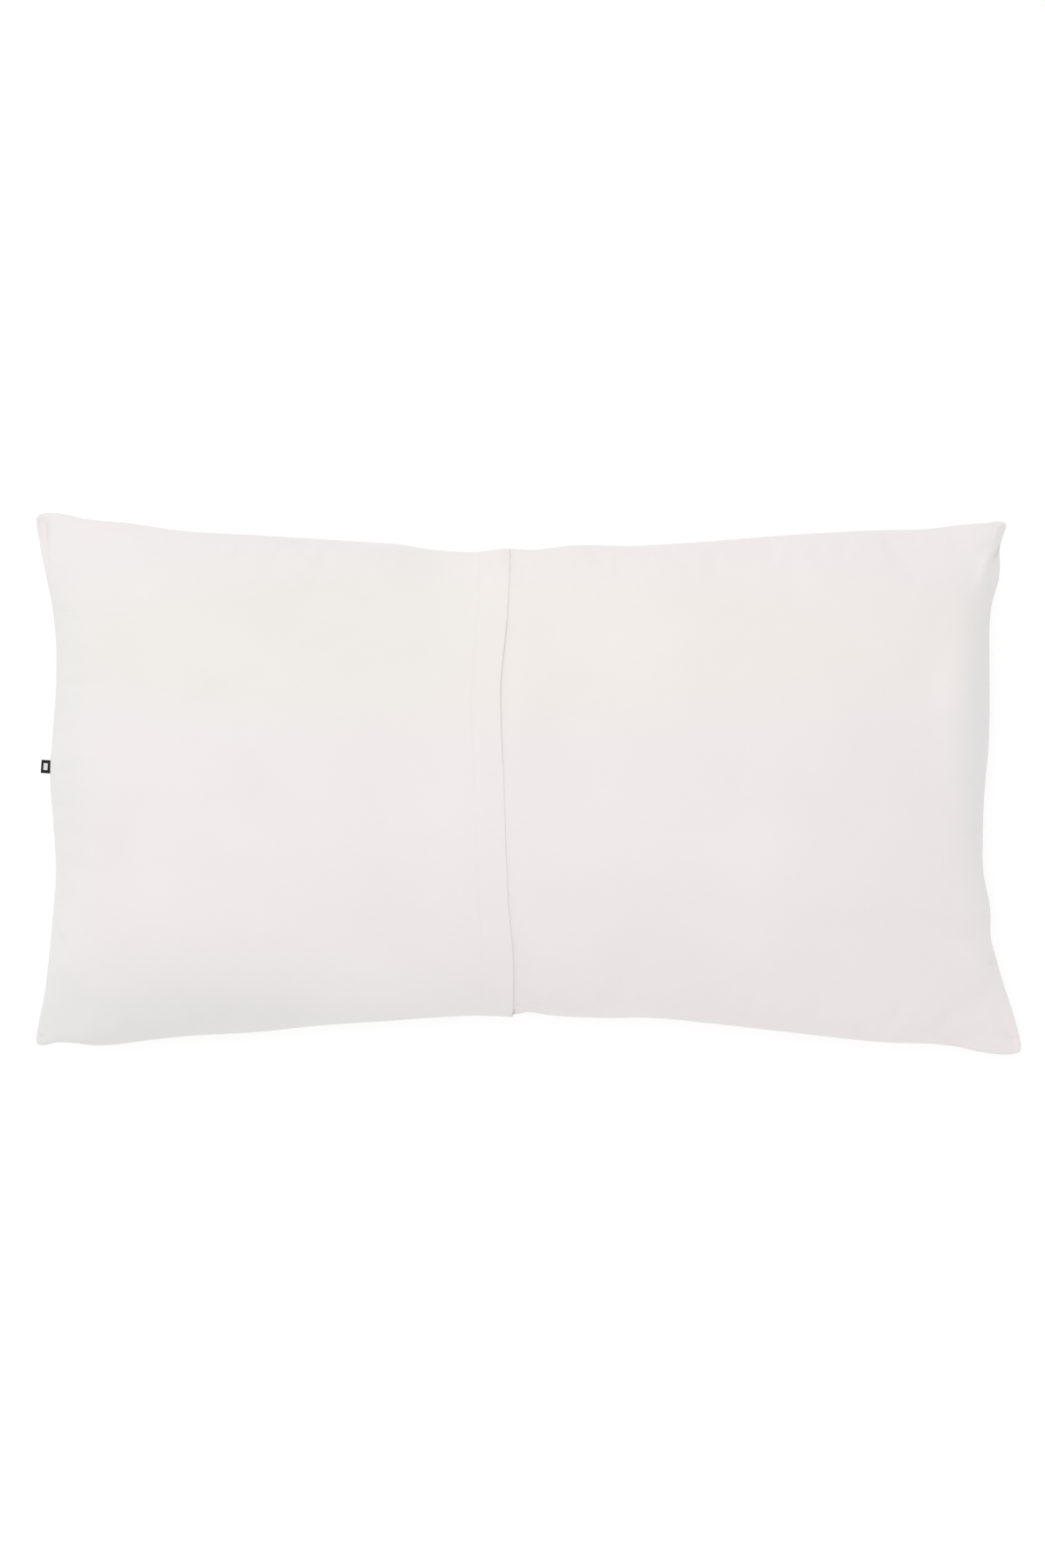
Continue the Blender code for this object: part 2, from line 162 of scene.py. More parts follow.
RIGHT_SEAM = [  # along is y, aside is x
    SeamPoint(-243, 444.8, 42),
    SeamPoint(-239, 445.5, 42),
    SeamPoint(-229, 443.8, 43),
    SeamPoint(-208, 438.3, 45),
    SeamPoint(-182, 429.6, 49),
    SeamPoint(-155, 421.6, 53),
    SeamPoint(-142, 418, 54),
    SeamPoint(-114, 417, 57),
    SeamPoint(-79, 410.5, 60),
    SeamPoint(-48, 410, 61),
    SeamPoint(0, 412, 62),
    SeamPoint(31, 415, 62),
    SeamPoint(60, 416, 62),
    SeamPoint(110, 416, 61),
    SeamPoint(145, 416.4, 59),
    SeamPoint(160, 417.9, 58),
    SeamPoint(171, 420.7, 57),
    SeamPoint(183, 424.3, 56),
    SeamPoint(197, 425.8, 55),
    SeamPoint(213, 425.5, 54),
    SeamPoint(219, 426.8, 55),
    SeamPoint(229, 430.2, 55),
    SeamPoint(233, 431.4, 55),
    SeamPoint(235.3, 430.9, 55),
]
FLAP_LINE = [  # along is y, aside is x, of the flap's hemmed edge; height is how far it lifts
    SeamPoint(-209, -14.5, 1.4),
    SeamPoint(-190, -14.5, 0.9),
    SeamPoint(-155, -14.5, 0.45),
    SeamPoint(-107, -18.5, 0.2),
    SeamPoint(-50, -21, 0.0),
    SeamPoint(0, -22.5, 0.05),
    SeamPoint(50, -25, 0.35),
    SeamPoint(97, -25, 0.5),
    SeamPoint(129, -21.5, 0.5),
    SeamPoint(160, -19, 0.1),
    SeamPoint(195, -17.5, 0.0),
    SeamPoint(212, -17, 0.0),
]

# A fold gets twice as wide towards its end, and is highest at `peak`, a share of its length.
Fold = namedtuple("Fold", "x0 y0 x1 y1 width rise peak", defaults=[0.0])
FOLDS = [  # soft ridges (rise above 0) and troughs in the back, from one point to another
    Fold(-431, 238, -424, 176, 5, 2),  # ridge inside the left top ear
    Fold(444, -232, 396, -196, 5, 1.5),  # from the right bottom ear's tip
    Fold(438, -237, 418, -233, 5, 2.5),
    Fold(390, 178, 380, -150, 14, 7, 0.3),  # the bulge along the right end
    Fold(419, 203, 400, 162, 6.5, 9),  # and where it meets the right top ear
    Fold(-438, -224, -424, -226, 4, -2),  # behind the left bottom ear's nub
    Fold(414, -122, 400, -150, 7, -2.5),  # tuck on the right end
    Fold(-16, 208, 4, 176, 6, -2),  # where the flap's hem meets the top seam
    Fold(-3, -205, 10, -180, 6, -2),  # where it meets the bottom seam
    Fold(-75, 207, -60, 150, 16, -2.5),
    Fold(330, 226, 318, 170, 20, -2),
]

Ear = namedtuple("Ear", "x y reach flatness")
EARS = [  # where the case is flatter
    Ear(-443, 241, 60, 0.25),
    Ear(431, 236, 52, 0.5),
    Ear(444, -241, 85, 0.5),
    Ear(-445, -235, 45, 0.2),
]

Swell = namedtuple("Swell", "x y radius rise")
SWELLS = [  # where the filling stands a little higher or lower
    Swell(-250, 60, 110, 3),
    Swell(-120, -110, 90, -2.5),
    Swell(90, 70, 100, 2),
    Swell(240, -60, 110, 3.5),
    Swell(330, 110, 70, -2.5),
    Swell(-350, -120, 70, 2.5),
]

TUCKS = [  # small hollows right beside the seams
    Fold(-17, 208.5, -3, 208.8, 1.8, -2.4),  # where the flap's hem is sewn into the top seam
    Fold(-15, -207.4, -10.5, -208, 2.3, -3.2),  # and into the bottom seam
    Fold(-6, -205, 6, -192, 2.5, -1.2),
    Fold(2, -206, 16, -196, 2.2, -0.9),
    Fold(-441.5, 247, -438.5, 140, 5.5, -6, 0.15),  # beside the left top ear's flat edge
    Fold(-444, 236, -437, 233, 2.4, -1.8),
    Fold(431, 233, 421, 226, 2.2, -2.2),  # across the right top ear's tip
    Fold(431.5, 222, 423.5, 205, 1.8, -7, 0.5),  # the slit below it
    Fold(443, -234.5, 421, -223.5, 2.2, -2.8, 0.2),  # across the right bottom ear's tip
    Fold(423, -158, 411, -166, 3.5, -3, 0.3),
    Fold(-443, -228.5, -430, -231, 1.6, -1.6, 0.2),  # across the left bottom nub
    Fold(410.5, -119, 417, -146, 2.2, -1.6),
    Fold(-10.5, -200.5, -4, -205, 1.6, -1.8),  # gathers right of the flap's hem
    Fold(5, -199, 16, -204.5, 1.8, -2.0),
    Fold(14, -206, 36, -209.5, 1.6, -2.2, 0.4),
]

Overhang = namedtuple("Overhang", "x0 y0 x1 y1 width drop drop_reach lift lift_reach")
OVERHANGS = [  # along a line from its start, the cloth on its right stands over that on its left
    Overhang(430, 224, 402, 184, 1.6, 7, 5.5, 10, 30),  # the right top ear over the end's bulge
]
OVERHANG_SPREAD = 4  # how much wider an overhang's edge gets along its line
LIFT_ROOT = 11.0  # how far in from the seam an overhang's cloth is fully lifted
TUCK_ROOT = 1.5  # width over which tucks and overhangs grow, in from the seam

LIFT_REACH = 14.0  # how far from its edge the flap starts to lift

# Random lines along the seams, which fade into the cloth, make its gathers.
Gather = namedtuple("Gather", "spacing rise reach seed")
GATHERS = [Gather(4.5, 0.22, 0.45, 0), Gather(13, 0.5, 1.6, 5)]  # fine ones and broad ones
GATHER_ROOT = 2.0  # width over which they grow, in from the seam
GATHER_REACH, REACH_CHANGE, REACH_SPACING, REACH_SEED = 7, 9, 23, 10
GATHER_SLANT, SLANT_SPACING, SLANT_SEED = 0.25, 60, 20
RIDGE_RISE, RIDGE_PLACE, RIDGE_WIDTH = 0.4, 3.4, 1.3  # of the seam's own ridge
BACK_SEED, FRONT_SEED = 11, 61
LINE_VALUES, LINE_START = 512, 200.0  # random values on a line, and where it is read at 0

# The wrinkles come from a coarse copy of the case that is blown up with a little spare cloth.
COARSE_COLUMNS, COARSE_ROWS = 150, 76
SPARE_CLOTH = 0.016  # as a share of the cloth's length
CLOTH_STEPS = 20
CLOTH_SETTINGS = {
    "quality": 6,
    "mass": 0.15,
    "tension_stiffness": 15,
    "compression_stiffness": 15,
    "shear_stiffness": 6,
    "bending_stiffness": 0.5,
    "use_pressure": True,
    "uniform_pressure_force": 4.0,
    "shrink_min": -SPARE_CLOTH,
}
LARGEST_MOVE = 6.0
CORNER_BLEND = 8  # in coarse squares: width in which an end and a side share a wrinkle
SEWN_REACH = 2  # in coarse squares: wrinkles grow over this from the seam
FLOOR_CALM = 14.0  # height above the floor at which the front's wrinkles are whole
WRINKLE_BLUR = 3  # in coarse squares: wider changes of shape are left out
SEAM_BLUR = 6  # in coarse squares: what runs along a seam for longer is left out too
BACK_WRINKLES, FRONT_WRINKLES = 0.95, 1.3  # beside the seams
MIDDLE_WRINKLES = 0.08  # of that, away from them
WRINKLE_REACH = 60.0  # in from the seams
SMOOTH_EAR = 105.0  # reach of the back's smooth cloth at each ear

STITCH_LENGTH, STITCH_SPACE, STITCH_RADIUS = 2.6, 3.1, 0.16
FIRST_STITCH, LAST_STITCH = 3.0, 5.0  # distance from the hem's bottom and top ends
STITCH_PROUD = 0.1  # share of its radius that a stitch's middle stands above the cloth
STITCH_SIDES, STITCH_BANDS = 6, 4

SHARP_ANGLE = math.radians(60)

PaintedTint = namedtuple("PaintedTint", "x y reach_x reach_y tint")
PAINTED_LIGHT_AND_SHADE = [  # ovals, in metres, of painted shade and painted light that tint the cloth's colour a little
    PaintedTint(0.430, 0.040, 0.055, 0.260, (0.918, 0.952, 0.958)),  # painted shade: darker and greyer at the right end
    PaintedTint(-0.445, 0.0, 0.075, 0.300, (0.965, 0.993, 0.988)),  # and at the left end
    PaintedTint(-0.360, -0.265, 0.500, 0.135, (0.935, 0.965, 0.962)),  # and at the lower left
    PaintedTint(0.200, -0.200, 0.350, 0.140, (0.990, 0.980, 0.986)),  # painted pink tint of the light: pinker at the lower right
    # less pink and a little darker left of the middle, towards the top
    PaintedTint(-0.250, 0.140, 0.250, 0.120, (0.975, 0.996, 0.990)),
    PaintedTint(-0.020, 0.125, 0.620, 0.105, (1.0, 1.0, 0.972)),  # painted warm light: creamier at the top
]
PAINTED_TINT_CORE = 0.4  # the share of an oval's reach that has its full painted tint
PAINTED_TINT_HEIGHT = 10  # in metres, so that a painted tint goes right through the case

THREADS = 3600.0  # in a metre of cloth
SLUB_ALONG, SLUB_ACROSS = 60.0, 900.0  # changes in a metre of thread, and across the threads
CROSSING_HEIGHT, CROSSING_SHADE = 0.35, 0.2  # of the threads, against their slubs
WEAVE_TONE = 0.25  # of the weave's shade, against the cloth's uneven tone

TAB_Y = 15.0
TAB_WIDTH = 12.0
TAB_REACH = 8.5
TAB_RIBBON = 0.7
TAB_FOLD_RADIUS = 0.6
TAB_SEWN_IN = 0.8  # length of its ends inside the seam
TAB_EDGE = 0.12  # rounding of the ribbon's edges
TAB_LEG_POINTS, TAB_FOLD_TURNS, TAB_SQUARES_ACROSS = 9, 10, 12
TAB_BAR = (1.9, 3.1)  # half the size of the pale bar woven in its middle
TAB_TURN = math.radians(-4)
TAB_DROOP = math.radians(8)


def new_object(name, data):
    made = bpy.data.objects.new(name, data)
    bpy.context.scene.collection.objects.link(made)
    return made


def grid_spot(vert, columns, rows):
    """The column and row of a corner of a new grid, which reaches from -1 to 1."""
    return round((vert.co.x + 1) / 2 * columns), round((vert.co.y + 1) / 2 * rows)


# ---------------------------------------------------------------- the cloth's surfaces


def smooth_step(t):
    t = np.clip(t, 0.0, 1.0)
    return t * t * (3.0 - 2.0 * t)


def through(points, column, at):
    """The named column of a table of points, read at `at` along a smooth line through them."""
    along = np.array([point.along for point in points], float)
    value = np.array([getattr(point, column) for point in points], float)
    slope = np.gradient(value, along)
    at = np.clip(at, along[0], along[-1])
    i = np.clip(np.searchsorted(along, at, side="right") - 1, 0, len(along) - 2)
    span = along[i + 1] - along[i]
    t = (at - along[i]) / span
    start = (1 + 2 * t) * (1 - t) ** 2 * value[i] + t * (1 - t) ** 2 * span * slope[i]
    end = t * t * (3 - 2 * t) * value[i + 1] + t * t * (t - 1) * span * slope[i + 1]
    return start + end


def seam_column(column, u, v):
    """A column of the left, right, bottom and top seams, beside the point (u, v)."""
    return tuple(
        through(points, column, points[0].along + at * (points[-1].along - points[0].along))
        for points, at in ((LEFT_SEAM, v), (RIGHT_SEAM, v), (BOTTOM_SEAM, u), (TOP_SEAM, u))
    )


def seam_height(u, v):
    """Height of the surface stretched between the four seams."""
    left, right, bottom, top = seam_column("height", u, v)
    corners = (
        (1 - u) * (1 - v) * BOTTOM_SEAM[0].height
        + u * (1 - v) * BOTTOM_SEAM[-1].height
        + (1 - u) * v * TOP_SEAM[0].height
        + u * v * TOP_SEAM[-1].height
    )
    return (1 - v) * bottom + v * top + (1 - u) * left + u * right - corners


def plan(u, v):
    """x and y of the point (u, v) between the four seams."""
    left, right, bottom, top = seam_column("aside", u, v)
    return left + u * (right - left), bottom + v * (top - bottom)


def fullness(u, v, x, y):
    """How full the case is: 0 at the seams and 1 at the middle, and flatter towards the ears."""
    end = (1 - np.abs(2 * u - 1) ** END_FULLNESS) ** SEAM_STEEPNESS
    side = (1 - np.abs(2 * v - 1) ** SIDE_FULLNESS) ** SEAM_STEEPNESS
    full = np.maximum(end * side, 0.0)
    for ear in EARS:
        away = np.hypot(x - ear.x, y - ear.y) / ear.reach
        full = full * (1 - ear.flatness * np.exp(-(away**2)))
    return full


def folded(folds, x, y):
    """How far a table's folds raise the cloth."""
    rise = np.zeros_like(x)
    for fold in folds:
        dx, dy = fold.x1 - fold.x0, fold.y1 - fold.y0
        t = np.clip(((x - fold.x0) * dx + (y - fold.y0) * dy) / (dx * dx + dy * dy), 0, 1)
        away = np.hypot(x - fold.x0 - t * dx, y - fold.y0 - t * dy)
        width = fold.width * (1 + t)
        grows = smooth_step(t / fold.peak) if fold.peak else 1.0
        fades = np.minimum(1, (1 - t) / (1 - fold.peak))
        rise = rise + fold.rise * grows * fades * np.exp(-((away / width) ** 2))
    return rise


def relief(x, y):
    """Folds and swells of the back."""
    rise = folded(FOLDS, x, y)
    for swell in SWELLS:
        away = np.hypot(x - swell.x, y - swell.y) / swell.radius
        rise = rise + swell.rise * np.exp(-(away**2))
    return rise


def stepped(x, y, rim_distance):
    """How far the cloth rises and drops beside each overhang."""
    rise = np.zeros_like(x)
    for line in OVERHANGS:
        dx, dy = line.x1 - line.x0, line.y1 - line.y0
        length = math.hypot(dx, dy)
        t = np.clip(((x - line.x0) * dx + (y - line.y0) * dy) / length**2, 0, 1)
        beside = (dx * (y - line.y0) - dy * (x - line.x0)) / length
        falls = smooth_step(beside / (line.width * (1 + OVERHANG_SPREAD * t)))
        lift = line.lift * smooth_step(rim_distance / LIFT_ROOT)
        lift = lift * np.exp(-((beside / line.lift_reach) ** 2))
        drop = line.drop * np.exp(-((beside / line.drop_reach) ** 2))
        rise += (1 - t) * (lift * (1 - falls) - drop * falls)
    return rise


def back(u, v):
    """Outer surface of the back, as points (..., 3)."""
    x, y = plan(u, v)
    full = fullness(u, v, x, y)
    rooted = smooth_step(full / RELIEF_ROOT)
    z = seam_height(u, v) + LIP_HEIGHT + CROWN * full + rooted * relief(x, y)
    return np.stack([x, y, z], axis=-1)


def front(u, v):
    """Outer surface of the front, flat where it rests on the floor."""
    x, y = plan(u, v)
    z = seam_height(u, v) - LIP_HEIGHT - BELLY * fullness(u, v, x, y)
    soft = (z + FLOOR_SOFTNESS) ** 2 / (4 * FLOOR_SOFTNESS)
    z = np.where(z > FLOOR_SOFTNESS, z, np.where(z < -FLOOR_SOFTNESS, 0.0, soft))
    return np.stack([x, y, z], axis=-1)


def wander(at, wavelength, seed):
    """A smooth random line between -1 and 1."""
    values = np.random.default_rng(seed).uniform(-1, 1, LINE_VALUES)
    place = at / wavelength + LINE_START
    i = np.floor(place).astype(int)
    t = smooth_step(place - i)
    return values[i % LINE_VALUES] * (1 - t) + values[(i + 1) % LINE_VALUES] * t


def graded(start, stop, first, last, widest, growth=SPACING_GROWTH):
    """Places from start to stop, `first` apart at the start, `last` apart at the stop."""
    near, far = [0.0], [0.0]
    length = abs(stop - start)
    while near[-1] + far[-1] < length:
        if first <= last:
            near.append(near[-1] + first)
            first = min(first * growth, widest)
        else:
            far.append(far[-1] + last)
            last = min(last * growth, widest)
    shrink = length / (near[-1] + far[-1])
    places = np.array(near + [near[-1] + far[-1] - place for place in far[-2::-1]]) * shrink
    return start + np.sign(stop - start) * places


def case_columns():
    """Where the cloth is divided along x, at the middle of the case."""
    stitches = FLAP_EDGE - HEM_WIDTH
    left, right = stitches - GROOVE_REACH[0], stitches + GROOVE_REACH[1]
    parts = [
        graded(LEFT_END, left, FINEST, GROOVE_APPROACH, WIDEST),
        graded(left, right, GROOVE_SPACING, GROOVE_SPACING, GROOVE_SPACING),
        graded(right, FLAP_EDGE, HEM_SPACING, EDGE_SPACING, WIDEST_IN_HEM, growth=HEM_GROWTH),
        graded(FLAP_EDGE, RIGHT_END, PAST_EDGE_SPACING, FINEST, WIDEST),
    ]
    return np.concatenate([part[:-1] for part in parts[:-1]] + [parts[-1]])


def case_rows():
    """Where it is divided from the bottom seam to the top seam, from 0 to 1."""
    return graded(0.0, MIDDLE_WIDTH, FINEST, FINEST, WIDEST) / MIDDLE_WIDTH


COLUMNS = case_columns()
ROWS = case_rows()
FLAP_COLUMN = int(np.argmin(np.abs(COLUMNS - FLAP_EDGE)))
HIDDEN_COLUMN = int(np.argmin(np.abs(COLUMNS - (FLAP_EDGE - OVERLAP))))


def case_grid():
    """u and v of every point where a column meets a row; the flap's edge is one column."""
    v = np.broadcast_to(ROWS, (len(COLUMNS), len(ROWS)))
    middle = np.full_like(v, 0.5)
    left, right, bottom, top = seam_column("aside", middle, v)
    flap_x = through(FLAP_LINE, "aside", bottom + v * (top - bottom))
    flap_u = (flap_x - left) / (right - left)
    column = COLUMNS[:, None]
    before = flap_u * (column - LEFT_END) / (FLAP_EDGE - LEFT_END)
    after = flap_u + (1 - flap_u) * (column - FLAP_EDGE) / (RIGHT_END - FLAP_EDGE)
    return np.where(column < FLAP_EDGE, before, after), v


def normals(points):
    """The unit normal at each point of a grid."""
    along = np.gradient(points, axis=0)
    across = np.gradient(points, axis=1)
    normal = np.cross(along, across)
    return normal / np.maximum(np.linalg.norm(normal, axis=-1, keepdims=True), TINY)


def from_edges(points):
    """Distance on the cloth from its left, right, bottom and top edges."""
    across = np.linalg.norm(np.diff(points, axis=0), axis=-1)
    up = np.linalg.norm(np.diff(points, axis=1), axis=-1)
    left = np.pad(np.cumsum(across, axis=0), ((1, 0), (0, 0)))
    bottom = np.pad(np.cumsum(up, axis=1), ((0, 0), (1, 0)))
    return left, left[-1:] - left, bottom, bottom[:, -1:] - bottom


def inward(points):
    """Level unit directions from the seam into the case, used on the rim only."""
    along = np.gradient(points[..., :2], axis=0)
    across = np.gradient(points[..., :2], axis=1)
    direction = np.zeros_like(points)
    for side, axis, sign in (
        (np.s_[:, 0], along, 1),
        (np.s_[:, -1], along, -1),
        (np.s_[0, :], across, -1),
        (np.s_[-1, :], across, 1),
    ):
        tangent = axis[side] / np.linalg.norm(axis[side], axis=-1, keepdims=True)
        direction[side] += np.stack(
            [-sign * tangent[..., 1], sign * tangent[..., 0], 0 * tangent[..., 0]], axis=-1
        )
    length = np.linalg.norm(direction, axis=-1, keepdims=True)
    return direction / np.maximum(length, TINY)


def puckers(points, seed, strength):
    """Small gathers that run from the seams into the cloth, and the seam's own ridge."""
    left, right, bottom, top = from_edges(points)
    x, y = points[..., 0], points[..., 1]
    rise = np.zeros_like(x)
    for k, (away, along) in enumerate(((left, y), (right, y), (bottom, x), (top, x))):
        slant = along + GATHER_SLANT * away * wander(along, SLANT_SPACING, seed + SLANT_SEED + k)
        held = 1 - np.exp(-away / GATHER_ROOT)
        change = 1 + wander(along, REACH_SPACING, seed + REACH_SEED + k)
        reach = GATHER_REACH + REACH_CHANGE * change
        gathered = np.zeros_like(x)
        for gather in GATHERS:
            line = wander(slant, gather.spacing, seed + gather.seed + k)
            gathered += gather.rise * (line * np.exp(-away / (gather.reach * reach)))
        rise += held * gathered
        rise += RIDGE_RISE * np.exp(-(((away - RIDGE_PLACE) / RIDGE_WIDTH) ** 2))
    return strength * rise


def face_out(shape):
    """Turn all faces of a closed shape outwards."""
    bmesh.ops.recalc_face_normals(shape, faces=shape.faces[:])
    if shape.calc_volume(signed=True) < 0:
        bmesh.ops.reverse_faces(shape, faces=shape.faces[:])


def coarse_case():
    """The case as one closed cloth of even squares, and the side and square of each point."""
    u, v = np.meshgrid(
        np.linspace(0, 1, COARSE_COLUMNS + 1), np.linspace(0, 1, COARSE_ROWS + 1), indexing="ij"
    )
    x, y = plan(u, v)
    seam = np.stack([x, y, seam_height(u, v)], axis=-1)
    inside = np.zeros(u.shape, bool)
    inside[1:-1, 1:-1] = True
    shape = bmesh.new()
    spot = shape.verts.layers.int.new("spot")
    for side, surface in enumerate((back(u, v), front(u, v))):
        grid = np.where(inside[..., None], surface, seam)
        made = bmesh.ops.create_grid(
            shape, x_segments=COARSE_COLUMNS, y_segments=COARSE_ROWS, size=1
        )["verts"]
        for vert in made:
            column, row = grid_spot(vert, COARSE_COLUMNS, COARSE_ROWS)
            vert.co = grid[column, row] * MM
            vert[spot] = (side * u.shape[0] + column) * u.shape[1] + row
    bmesh.ops.remove_doubles(shape, verts=shape.verts[:], dist=SAME_PLACE * MM)
    face_out(shape)
    mesh = bpy.data.meshes.new("coarse_case")
    places = np.unravel_index([vert[spot] for vert in shape.verts], (2, *u.shape))
    shape.to_mesh(mesh)
    shape.free()
    return mesh, places


def mesh_points(mesh):
    """A mesh's points, in millimetres."""
    points = np.empty(len(mesh.vertices) * 3, np.float32)
    mesh.vertices.foreach_get("co", points)
    return points.reshape(-1, 3) / MM


def blown_up():
    """How far each point of the back and of the front moves when the case is blown up."""
    mesh, (side, column, row) = coarse_case()
    case = new_object("coarse_case", mesh)
    sewn = case.vertex_groups.new(name="sewn")
    on_seam = (column % COARSE_COLUMNS == 0) | (row % COARSE_ROWS == 0)
    sewn.add(np.flatnonzero(on_seam).tolist(), 1.0, "ADD")
    cloth = case.modifiers.new("cloth", "CLOTH")
    cloth.collision_settings.use_collision = False
    cloth.point_cache.frame_start, cloth.point_cache.frame_end = 1, CLOTH_STEPS
    for setting, value in CLOTH_SETTINGS.items():
        setattr(cloth.settings, setting, value)
    cloth.settings.effector_weights.gravity = 0
    cloth.settings.vertex_group_mass = "sewn"
    for step in range(1, CLOTH_STEPS + 1):
        bpy.context.scene.frame_set(step)
    blown = case.evaluated_get(bpy.context.evaluated_depsgraph_get())
    moved = np.zeros((2, COARSE_COLUMNS + 1, COARSE_ROWS + 1, 3))
    moved[side, column, row] = mesh_points(blown.to_mesh()) - mesh_points(mesh)
    blown.to_mesh_clear()
    bpy.data.objects.remove(case)
    bpy.data.meshes.remove(mesh)
    bpy.context.scene.frame_set(1)
    return moved


def blurred(field, radius, axes=(0, 1)):
    """A coarse field of values, averaged softly with its neighbours."""
    reach = 3 * radius
    weights = np.exp(-0.5 * (np.arange(-reach, reach + 1) / radius) ** 2)
    weights /= weights.sum()
    for axis in axes:
        padding = [(reach, reach) if axis == other else (0, 0) for other in range(3)]
        wide = np.pad(field, padding, mode="edge")
        field = sum(
            weight * np.take(wide, range(k, k + field.shape[axis]), axis)
            for k, weight in enumerate(weights)
        )
    return field


def sampled(field, u, v):
    """A coarse field of values, read smoothly at (u, v)."""
    near = []
    for at, size in ((u, field.shape[0]), (v, field.shape[1])):
        place = np.clip(at, 0, 1) * (size - 1)
        start = np.minimum(np.floor(place).astype(int), size - 2)
        t = (place - start)[..., None]
        weights = (
            -0.5 * t + t**2 - 0.5 * t**3,
            1 - 2.5 * t**2 + 1.5 * t**3,
            0.5 * t + 2 * t**2 - 1.5 * t**3,
            -0.5 * t**2 + 0.5 * t**3,
        )
        near.append([(np.clip(start + k - 1, 0, size - 1), w) for k, w in enumerate(weights)])
    return sum(a * b * field[i, j] for i, a in near[0] for j, b in near[1])


def wrinkles(moved, points):
    """The blown-up cloth's narrow wrinkles, at the fine grid's points."""
    narrow = moved - blurred(moved, WRINKLE_BLUR)
    column, row = np.indices(narrow.shape[:2])
    column = np.minimum(column, COARSE_COLUMNS - column)
    row = np.minimum(row, COARSE_ROWS - row)
    by_end = smooth_step((row - column) / CORNER_BLEND + 0.5)[..., None]
    narrow -= by_end * blurred(narrow, SEAM_BLUR, axes=(1,))
    narrow -= (1 - by_end) * blurred(narrow, SEAM_BLUR, axes=(0,))
    length = np.linalg.norm(narrow, axis=-1, keepdims=True)
    narrow *= np.minimum(1, LARGEST_MOVE / np.maximum(length, TINY))
    narrow *= smooth_step(np.minimum(column, row) / SEWN_REACH)[..., None]
    away = np.min(from_edges(points), axis=0)
    share = MIDDLE_WRINKLES + (1 - MIDDLE_WRINKLES) * np.exp(-((away / WRINKLE_REACH) ** 2))
    return share[..., None] * sampled(narrow, U, V)


def lip(points, up):
    """The grid with rings around it where the cloth turns in to the seam; up is 1 or -1."""
    into = inward(points)
    grown = points
    for ring in range(1, LIP_RINGS + 1):
        turn = 0.5 * math.pi * ring / LIP_RINGS
        step_in = LIP_DEPTH * (1 - math.cos(turn))
        step_down = LIP_HEIGHT * LIP_SHARE * math.sin(turn)
        ring_points = points + step_in * into - [0, 0, up * step_down]
        padding = ((ring, ring), (ring, ring), (0, 0))
        edge = np.pad(ring_points, padding, mode="edge")
        grown = np.pad(grown, ((1, 1), (1, 1), (0, 0)))
        outermost = np.zeros(grown.shape[:2], bool)
        outermost[[0, -1], :] = True
        outermost[:, [0, -1]] = True
        grown = np.where(outermost[..., None], edge, grown)
    return grown


def covered():
    """How far the flap and the right panel overlap at each column, from 0 to 1."""
    under = smooth_step((COLUMNS - (FLAP_EDGE - OVERLAP - SINK_RAMP)) / SINK_RAMP)
    beside = 1 - smooth_step((COLUMNS - FLAP_EDGE) / STEP_RAMP)
    return (under * beside)[:, None] * np.ones(len(ROWS))


def flap_lift():
    """How far the flap's edge stands off the cloth under it."""
    lift = through(FLAP_LINE, "height", Y[FLAP_COLUMN])
    return smooth_step(1 - (FLAP_EDGE - COLUMNS) / LIFT_REACH)[:, None] * np.maximum(lift, 0)


def hem_profile():
    """Outer and inner change of the flap's cloth at each column: its hem, stitches and fold."""
    stitches = FLAP_EDGE - HEM_WIDTH
    rise = HEM_RISE * smooth_step((COLUMNS - stitches) / HEM_STEP)
    groove = -GROOVE_DEPTH * np.exp(-(((COLUMNS - stitches) / GROOVE_WIDTH) ** 2))
    radius = (CLOTH + HEM_RISE) / 2
    short = np.clip(radius - (FLAP_EDGE - COLUMNS), 0, radius)
    rounding = radius - np.sqrt(radius**2 - short**2)
    return (rise + groove - rounding)[:, None], rounding[:, None]


U, V = case_grid()
X, Y = plan(U, V)
BACK = back(U, V)
FRONT = front(U, V)
RIM_DISTANCE = np.min(from_edges(BACK), axis=0)
TUCKED = folded(TUCKS, X, Y) + stepped(X, Y, RIM_DISTANCE)
BACK_RISE = puckers(BACK, BACK_SEED, 1.0) + (1 - np.exp(-RIM_DISTANCE / TUCK_ROOT)) * TUCKED
FRONT_RISE = puckers(FRONT, FRONT_SEED, -1.0)
BACK_NORMALS, FRONT_NORMALS = normals(BACK), normals(FRONT)  # both point up
MOVED = blown_up()
OFF_FLOOR = smooth_step(FRONT[..., 2:] / FLOOR_CALM)
EAR_DISTANCE = np.min([np.hypot(X - ear.x, Y - ear.y) for ear in EARS], axis=0)
SMOOTHED = smooth_step(EAR_DISTANCE / SMOOTH_EAR)[..., None]
BACK += BACK_WRINKLES * SMOOTHED * wrinkles(MOVED[0], BACK)
FRONT += FRONT_WRINKLES * OFF_FLOOR * wrinkles(MOVED[1], FRONT)
BACK += BACK_NORMALS * BACK_RISE[..., None]
FRONT += FRONT_NORMALS * FRONT_RISE[..., None]
FRONT[..., 2] = np.maximum(FRONT[..., 2], 0.0)
BACK_OUT = lip(BACK, 1)
FRONT_OUT = lip(FRONT, -1)
BACK_NORMAL = normals(BACK_OUT)
PAD = ((LIP_RINGS, LIP_RINGS), (LIP_RINGS, LIP_RINGS))
COVERED = np.pad(covered(), PAD, mode="edge")
SINK = (CLOTH + GAP) * COVERED


def layer(depth):
    """A layer at a depth below the outer surface of the back."""
    depth = np.broadcast_to(depth, BACK_OUT.shape[:2])[..., None]
    return BACK_OUT - depth * BACK_NORMAL


# ---------------------------------------------------------------- materials


